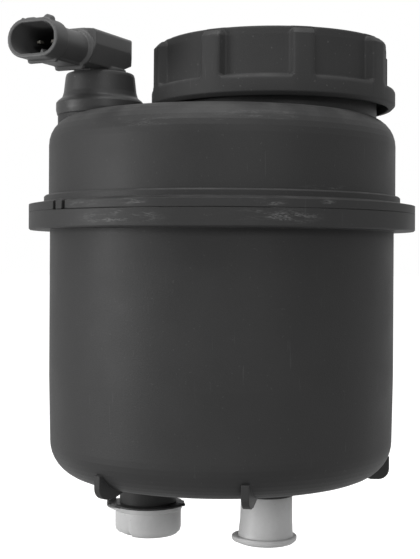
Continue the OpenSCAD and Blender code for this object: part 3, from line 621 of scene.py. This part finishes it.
def buildCap():
    look = capShape
    low, top = heights("filler_cap")
    grip = halfWidth("filler_cap")
    panel = grip - look["gripOut"]
    bore = panel - look["wall"]
    bandTop = low + look["bandHeight"]
    bandIn = grip - look["bandWall"]
    under = top - look["topWall"]
    ringOut, ringIn, ringDrop = look["insertRing"]
    foot = [(bandIn, low, 0.25), (grip - look["bandSlope"], low, 0.4), (grip, low + look["bandSlope"], 0.7)]
    inside = [(0, top, 0), (0, under, 0), (ringIn, under, 0), (ringIn, under - ringDrop, 0.3),
              (ringOut, under - ringDrop, 0.3), (ringOut, under, 0.3), (bore, under, 0.8),
              (bore, bandTop - 1, 0.4), (bandIn, bandTop - 3, 0.4)]
    # both outlines have the same number of points, so that a rib's flank can blend from one to the other
    betweenRibs = roundCorners(foot + [(grip, bandTop, 1.5), (panel, bandTop + 0.15, 0.7)]
                               + fromEdge(panel, top, look["panelEdge"]) + inside)
    onRib = roundCorners(foot + [(grip, bandTop, 1.5), (grip, bandTop + 0.8, 0.7)]
                         + fromEdge(grip, top, look["ribEdge"])
                         + fromEdge(panel, top, look["ribShoulder"]) + inside)
    ribs = [half + look["firstRib"] + i * look["ribPitch"]
            for half in (0, 180) for i in range(look["ribsPerHalf"])]

    def ribShare(turn):
        return max(blendOf(look["ribHalf"] - abs(angleFrom(turn, rib)), look["flank"]) for rib in ribs)

    turns = []
    for rib in ribs:
        for way in (-1, 1):
            turns += [rib + way * (look["ribHalf"] - offset) for offset, share in look["flank"]]
        turns += [rib - look["ribInner"], rib, rib + look["ribInner"]]
    turns = sorted(turn % 360 for turn in turns)
    filled = []
    for here, after in zip(turns, turns[1:] + [turns[0] + 360]):
        spans = max(1, round((after - here) / look["openStep"]))
        filled += [math.radians(here + (after - here) * k / spans) for k in range(spans)]

    def outlineAt(turn):
        share = ribShare(turn)
        return [a.lerp(b, share) for a, b in zip(betweenRibs, onRib)]

    verts, faces = latheMesh(outlineAt, middleOf("filler_cap"), filled)
    shell = addPiece("capShell", verts, faces, "cap", "cap_black", 40)
    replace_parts(shell, "filler_cap")
    return bore


# Screw thread: a right-handed ridge on the neck, and the cap's own ridge half a pitch above it

threadShape = {"pitch": 7.0, "turns": 1.5, "height": 1.0, "root": 1.25, "tip": 0.5, "sunk": 0.25,
               "start": -150.0, "neckDrop": 13.9, "stepsPerTurn": 72, "runOut": 0.05}


def buildThreads(capBore):
    look = threadShape
    neckRadius = halfWidth("cap_gasket")
    neckRim = heights("cap_gasket")[0]
    first = neckRim - look["neckDrop"]
    steps = int(look["turns"] * look["stepsPerTurn"])
    for name, body, slot, radius, way, lift in (
            ("neckThread", "tank", "housing_black", neckRadius, 1, 0.0),
            ("capThread", "cap", "cap_black", capBore, -1, look["pitch"] / 2)):
        path = []
        for i in range(steps + 1):
            turn = look["turns"] * i / steps
            height = first + lift + look["pitch"] * turn
            path.append((math.radians(look["start"] + 360 * turn), radius, height))

        def sectionAt(share):
            full = ease(share, 0, look["runOut"]) * ease(share, 1, 1 - look["runOut"])
            rise = way * look["height"] * (0.15 + 0.85 * full)
            sink = -way * look["sunk"]
            return [(sink, -look["root"]), (rise * 0.85, -look["tip"] - 0.12), (rise, -look["tip"] + 0.1),
                    (rise, look["tip"] - 0.1), (rise * 0.85, look["tip"] + 0.12), (sink, look["root"])]

        verts, faces = sweepMesh(sectionAt, middleOf("filler_cap"), path)
        addPiece(name, verts, faces, body, slot)


buildThreads(buildCap())
report("filler cap and threads built")


# Grommet: soft moulded rubber with a rounded lower flange and a waisted upper part

grommetShape = {"height": 13.2, "stemSlack": 0.05, "free": 1.0, "plugDepth": 3.0, "boss": 13.3,
                "bossWall": 2.1, "waistHeight": 4.0, "wobble": 0.05, "steps": 180,
                # the plug's barb: out from the plug, up from its foot, corner radius
                "barb": [(-1.0, 0.0, 0.5), (0.7, 1.7, 0.4), (0.7, 2.4, 0.3)],
                # the skin: in from the widest part, down from the boss (so up is negative), corner radius
                "skin": [(0.35, 0.0, 0.15), (0.0, -1.6, 1.4), (0.0, -3.8, 0.45), (0.7, -4.6, 0.5),
                         (1.9, -5.5, 1.6), (2.4, -7.2, 2.5)],
                "crown": [(2.95, 1.2, 0.4), (3.3, 0.0, 1.0)]}


def buildGrommet():
    look = grommetShape
    low, top = heights("sensor_grommet")
    out = halfWidth("sensor_grommet")
    boss = top - look["height"]
    plug = look["boss"] - look["bossWall"] - 0.1
    hold = low + look["plugDepth"]
    stem = halfWidth("sensor_stem") + look["stemSlack"]
    barb = [(plug + past, low + rise, corner) for past, rise, corner in look["barb"]]
    profile = roundCorners([(stem, low, 0)] + barb + [(plug, hold, 0), (plug, boss, 0)]
                           + fromEdge(out, boss, look["skin"]) + fromEdge(out, top, look["crown"])
                           + [(stem, top, 0)], 5)
    rim = plug + look["free"]

    def outlineAt(turn):
        # the free outer skin is a little uneven
        drift = look["wobble"] * noise.noise(Vector((3 * math.cos(turn), 3 * math.sin(turn), 0.5)))
        return [(r + (drift if r > rim or z > boss + look["waistHeight"] else 0), z) for r, z in profile]

    verts, faces = latheMesh(outlineAt, middleOf("sensor_stem"), evenTurns(look["steps"]))
    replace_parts(addPiece("grommetSkin", verts, faces, "tank", "rubber_black", 50), "sensor_grommet")


# Sensor head: the moulding with rounded edges, and a shallow waist behind its collar

headShape = {
    "voxel": 0.24, "smoothing": 4, "keep": 0.32,
    # the way the connector faces; where the waist starts and ends behind the mouth, and how far it draws in
    "facing": (-0.4274, -0.9041), "waist": (6.0, 19.6), "ramp": 0.7, "drawSide": 0.16, "drawHeight": 0.15,
    "shroudBelowTop": 6.9, "shroudHalf": (8.65, 5.7), "wall": 1.2,
}


def drawWaist(mesh):
    look = headShape
    ahead = Vector((look["facing"][0], look["facing"][1], 0))
    side = Vector((-ahead.y, ahead.x, 0))
    stem = middleOf("sensor_stem")
    root = Vector((stem[0], stem[1], heights("sensor_head")[1] * mm - look["shroudBelowTop"] * mm))
    places = [vertex.co - root for vertex in mesh.vertices]
    mouth = max(place.dot(ahead) for place in places) / mm
    front, back = mouth - look["waist"][0], mouth - look["waist"][1]
    flat = look["shroudHalf"][0] - look["shroudHalf"][1]
    inside = look["shroudHalf"][1] - look["wall"] / 2
    for vertex, place in zip(mesh.vertices, places):
        along = place.dot(ahead) / mm
        fromAxis = math.hypot(max(0.0, abs(place.dot(side)) / mm - flat), place.z / mm)
        start = mouth if fromAxis < inside else front
        share = ease(along, start, front - look["ramp"]) * ease(along, back, back + look["ramp"])
        vertex.co -= side * (place.dot(side) * look["drawSide"] * share)
        vertex.co.z -= place.z * look["drawHeight"] * share


def bakedMesh(source):
    evaluated = source.evaluated_get(bpy.context.evaluated_depsgraph_get())
    return bpy.data.meshes.new_from_object(evaluated)


def buildSensorHead():
    look = headShape
    source = bpy.data.objects.new("sensorMould", nodes["sensor_head"].data.copy())
    bpy.context.scene.collection.objects.link(source)
    weld = source.modifiers.new("weld", "WELD")
    weld.merge_threshold = 0.001 * mm
    skin = source.modifiers.new("skin", "REMESH")
    skin.mode = "VOXEL"
    skin.voxel_size = look["voxel"] * mm
    soften = source.modifiers.new("soften", "SMOOTH")
    soften.factor = 0.5
    soften.iterations = look["smoothing"]
    mesh = bakedMesh(source)
    drawWaist(mesh)
    source.modifiers.clear()
    source.data = mesh
    thin = source.modifiers.new("thin", "DECIMATE")
    thin.ratio = look["keep"]
    mesh = bakedMesh(source)
    mesh.name = "sensorMoulding"
    bpy.data.objects.remove(source)
    print("sensor moulding faces:", len(mesh.polygons))
    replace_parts(finishPiece("sensorMoulding", mesh, "tank", "sensor_black", 50), "sensor_head")


buildGrommet()
buildSensorHead()
report("level sensor built")


# Suction port: a torn rubber washer, and the shipping cup with its torn lip

washerShape = {"steps": 150, "fray": 0.12, "droop": 0.25, "droopFrom": 11.9, "torn": [
    # degrees and outer radius in millimetres
    (-180, 10.6), (-158, 10.6), (-150, 11.5), (-120, 11.75), (-90, 11.85), (-60, 11.8), (-38, 11.7),
    (-24, 12.0), (-18, 12.35), (-12, 12.1),
    (-4, 11.4), (6, 11.5), (14, 11.0), (24, 11.2), (34, 10.6), (50, 10.5), (66, 10.9), (80, 10.7),
    (110, 11.5), (132, 11.6), (142, 10.6), (180, 10.6)]}

cupShape = {
    "band": 1.4, "bandOut": 0.3, "groove": 0.2, "wall": 1.5, "endWall": 1.2, "corner": 3.0, "steps": 216,
    "overhang": 1.5, "lipOut": 2.45, "lipWall": 0.65, "wobble": 0.07,
    # degrees round the cup: how far the lip is bent out, and how high it is torn up in millimetres
    "flare": [(-180, 1.0), (-154, 1.0), (-140, 0.55), (-128, 0.15), (-118, 0.0), (134, 0.0), (141, 0.9),
              (146, 1.0), (180, 1.0)],
    "torn": [(-180, 0.9), (-172, 0.2), (-165, -0.15), (-150, -0.1), (-128, 0.0), (141, 0.0), (149, 0.0),
             (151, 2.9), (156, 2.6), (163, 2.0), (172, 1.3), (180, 0.9)],
    # how deep the cup's lower edge is worn away
    "chipped": [(-180, 0.0), (-160, 0.9), (-150, 1.0), (-136, 0.9), (-127, 1.0), (-124, 1.5), (-121, 1.0),
                (-119, 0.3), (-100, 0.05), (-80, 0.0), (180, 0.0)],
}


def cupBore():
    # from the washer's own width, which stands out past the cup's wall
    return halfWidth("suction_washer") - cupShape["wall"] - cupShape["overhang"]


def buildWasher():
    low, high = heights("suction_washer")
    bore = cupBore()

    def washerAt(turn):
        out = blendOf(angleFrom(turn, 0), washerShape["torn"])
        out += washerShape["fray"] * noise.noise(Vector((9 * math.cos(turn), 9 * math.sin(turn), 2.0)))
        droop = washerShape["droop"] * max(0.0, out - washerShape["droopFrom"])
        return [(bore, low), (out - 0.1, low - droop), (out, low + 0.2 - droop),
                (out - 0.1, high - 0.15 - droop), (out - 0.5, high), (bore, high)]

    verts, faces = latheMesh(washerAt, middleOf("suction_washer"), evenTurns(washerShape["steps"]))
    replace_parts(addPiece("tornWasher", verts, faces, "suction_cap", "rubber_black", 30), "suction_washer")


def buildCup():
    look = cupShape
    end = heights("suction_port_cap")[0]
    top = heights("suction_washer")[0]
    bore = cupBore()
    radius = bore + look["wall"]
    grooveTop = top - look["band"]
    grooveLow = grooveTop - look["groove"]

    def cupAt(turn):
        where = angleFrom(turn, 0)
        flare = blendOf(where, look["flare"])
        torn = blendOf(where, look["torn"])
        chip = blendOf(where, look["chipped"])
        drift = look["wobble"] * noise.noise(Vector((2 * math.cos(turn), 2 * math.sin(turn), 1.0)))
        wall, band = radius + drift, radius + look["bandOut"] + drift
        bent = look["lipOut"] * flare
        rise = top + torn
        lipIn = band + bent - look["lipWall"]
        return roundCorners([
            (0, end + 0.15, 0), (wall - look["corner"] - 1.5, end, 1.0),
            (wall - 0.25 * chip, end + chip, look["corner"]), (wall, grooveLow - 0.3, 0.1),
            (wall - 0.1, grooveLow, 0.1), (band, grooveTop, 0.2),
            (band + 0.55 * bent, top - 0.75 * look["band"] * (1 - 0.2 * flare), 0.2),
            (band + bent, top - 0.3, 0.2), (band + bent, rise - 0.02, 0.1), (lipIn, rise, 0.1),
            (lipIn, top + min(0.0, torn), 0.05), (bore, top + min(0.0, torn), 0),
            (bore, end + look["endWall"], 0), (0, end + look["endWall"], 0)], 3)

    verts, faces = latheMesh(cupAt, middleOf("suction_washer"), evenTurns(look["steps"]))
    cup = addPiece("shippingCup", verts, faces, "suction_cap", "shipping_white", 40)
    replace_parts(cup, "suction_port_cap")


# Return port: the shipping tube, flared on one side, with a rolled pull rim

tubeShape = {
    "wall": 0.9, "rimOut": 1.4, "rimHeight": 2.5, "endWall": 1.2, "steps": 180, "tab": 1.4, "wobble": 0.06,
    # the foot of the tube: out from the tube, share of the flare, up from the rim, corner radius
    "foot": [(0.45, 0.6, -0.45, 0.25), (0.15, 0.8, 1.0, 1.0), (0.0, 0.3, 5.0, 2.0)],
    # degrees round the tube: how far the rim's tab stands out, and how far the foot of the tube flares
    "tabOut": [(-180, 1.0), (-158, 0.9), (-146, 0.3), (-138, 0.0), (138, 0.0), (146, 0.4), (158, 0.9),
               (180, 1.0)],
    "flare": [(-180, 0.55), (-150, 0.4), (-110, 0.1), (-80, 0.0), (100, 0.0), (150, 0.4), (180, 0.55)],
}


def buildReturnCap():
    look = tubeShape
    low, high = heights("return_port_cap")
    near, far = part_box("return_port_cap")
    # the pull tab widens the node to one side only, so its depth gives the round rim
    rim = (far.y - near.y) / 2 / mm
    tube = rim - look["rimOut"]
    bore = tube - look["wall"]
    centre = (far.x - rim * mm, 0.0)
    rimTop = low + look["rimHeight"]

    def tubeAt(turn):
        where = angleFrom(turn, 0)
        tab = look["tab"] * blendOf(where, look["tabOut"])
        flare = blendOf(where, look["flare"])
        drift = look["wobble"] * noise.noise(Vector((2.5 * math.cos(turn), 2.5 * math.sin(turn), 7.0)))
        out = rim + tab + drift
        pullRim = [(0, low + 0.1, 0), (rim - 1.1, low, 0.9), (out - 0.05, low + 0.9, 0.7),
                   (out, rimTop - 0.35, 0.35), (out - 0.65, rimTop - 0.1, 0.3)]
        foot = [(tube + past + flare * share, rimTop + rise, corner)
                for past, share, rise, corner in look["foot"]]
        inside = [(bore, high, 0.2), (bore, low + look["endWall"], 0.3), (0, low + look["endWall"], 0)]
        return roundCorners(pullRim + foot + [(tube, high - 3.0, 0.5), (tube, high, 0.25)] + inside, 3)

    verts, faces = latheMesh(tubeAt, centre, evenTurns(look["steps"]))
    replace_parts(addPiece("shippingTube", verts, faces, "return_cap", "shipping_white", 40), "return_port_cap")


buildWasher()
buildCup()
buildReturnCap()
report("shipping caps built")


# Filter spring: round wire, closed at both ends

springShape = {"wire": 0.9, "turns": 5.0, "closed": 0.6, "stepsPerTurn": 40, "sides": 14}


def buildSpring():
    look = springShape
    low, high = heights("filter_spring")
    radius = halfWidth("filter_spring") - look["wire"]
    rise = high - low - 2 * look["wire"]
    steps = int(look["turns"] * look["stepsPerTurn"])
    path = []
    for i in range(steps + 1):
        turn = look["turns"] * i / steps
        share = min(1.0, max(0.0, (turn - look["closed"]) / (look["turns"] - 2 * look["closed"])))
        path.append((2 * math.pi * turn, radius, low + look["wire"] + rise * share))
    section = [(look["wire"] * math.cos(2 * math.pi * k / look["sides"]),
                look["wire"] * math.sin(2 * math.pi * k / look["sides"])) for k in range(look["sides"])]
    verts, faces = sweepMesh(lambda share: section, middleOf("filter_seal"), path)
    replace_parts(addPiece("springWire", verts, faces, "tank", "spring_steel"), "filter_spring")


buildSpring()
report("filter spring built")


# Stage and light

stageLook = {"floorSize": 8.0, "floorColour": (0.42, 0.42, 0.42, 1), "cameraGlow": 0.94, "mirrorGlow": 0.75,
             # the floor lies below the shipping caps also where they are pulled off
             "floorMirror": 0.5, "floorGap": 42 * mm}
lampLook = {
    # place, size in metres and power in watts; every lamp points at the middle of the wall
    "leftBox": ((-0.92, -0.33, 0.0), 0.4, 7.1),
    "topBox": ((-0.1, -0.3, 0.95), 0.7, 8.6),
    "frontBox": ((0.38, -1.05, 0.28), 0.25, 2.5),
    "worldGrey": 0.39,
}


def seenRays(tree):
    # rays that reach the white surroundings from the camera, and those mirrored off the object
    path = tree.nodes.new("ShaderNodeLightPath").outputs
    return calc(tree, "MAXIMUM", path["Is Camera Ray"], path["Is Transmission Ray"]), path["Is Glossy Ray"]


def buildStage():
    size = stageLook["floorSize"]
    low = cadBounds[0].z - stageLook["floorGap"]
    mesh = bpy.data.meshes.new("studioFloor")
    corners = [(-size, -size, low), (size, -size, low), (size, size, low), (-size, size, low)]
    mesh.from_pydata(corners, [], [(0, 1, 2, 3)])
    floor = bpy.data.objects.new("studioFloor", mesh)
    bpy.context.scene.collection.objects.link(floor)
    material, tree, shader = startMaterial("paleFloor")
    shader.inputs["Base Color"].default_value = stageLook["floorColour"]
    shader.inputs["Roughness"].default_value = 0.9
    shader.inputs["Specular IOR Level"].default_value = 0.0
    shader.inputs["Emission Color"].default_value = (1, 1, 1, 1)
    direct, mirrored = seenRays(tree)
    glow = calc(tree, "ADD", calc(tree, "MULTIPLY", direct, stageLook["cameraGlow"]),
                calc(tree, "MULTIPLY", mirrored, stageLook["floorMirror"]))
    tree.links.new(glow, shader.inputs["Emission Strength"])
    # clear when seen from below, so that the underside can be looked at
    clear = tree.nodes.new("ShaderNodeBsdfTransparent")
    sides = tree.nodes.new("ShaderNodeMixShader")
    tree.links.new(tree.nodes.new("ShaderNodeNewGeometry").outputs["Backfacing"], sides.inputs[0])
    tree.links.new(shader.outputs[0], sides.inputs[1])
    tree.links.new(clear.outputs[0], sides.inputs[2])
    tree.links.new(sides.outputs[0], tree.nodes["Material Output"].inputs["Surface"])
    mesh.materials.append(material)


def buildWorld():
    world = bpy.data.worlds.new("studioWorld")
    world.use_nodes = True
    tree = world.node_tree
    direct, mirrored = seenRays(tree)
    grey = lampLook["worldGrey"]
    strength = calc(tree, "ADD", calc(tree, "ADD", grey, calc(tree, "MULTIPLY", direct, 1.0 - grey)),
                    calc(tree, "MULTIPLY", mirrored, stageLook["mirrorGlow"] - grey))
    backdrop = tree.nodes["Background"]
    backdrop.inputs["Color"].default_value = (1, 1, 1, 1)
    tree.links.new(strength, backdrop.inputs["Strength"])
    bpy.context.scene.world = world


def addLamp(name, place, size, power):
    lamp = bpy.data.lights.new(name, "AREA")
    lamp.size = size
    lamp.energy = power
    holder = bpy.data.objects.new(name, lamp)
    holder.location = place
    holder.rotation_euler = (-Vector(place)).to_track_quat("-Z", "Y").to_euler()
    bpy.context.scene.collection.objects.link(holder)


buildStage()
buildWorld()
for lampName in ("leftBox", "topBox", "frontBox"):
    addLamp(lampName, *lampLook[lampName])
bpy.context.scene.view_settings.view_transform = "Standard"
report("stage and light set")


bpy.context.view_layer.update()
report("size written")
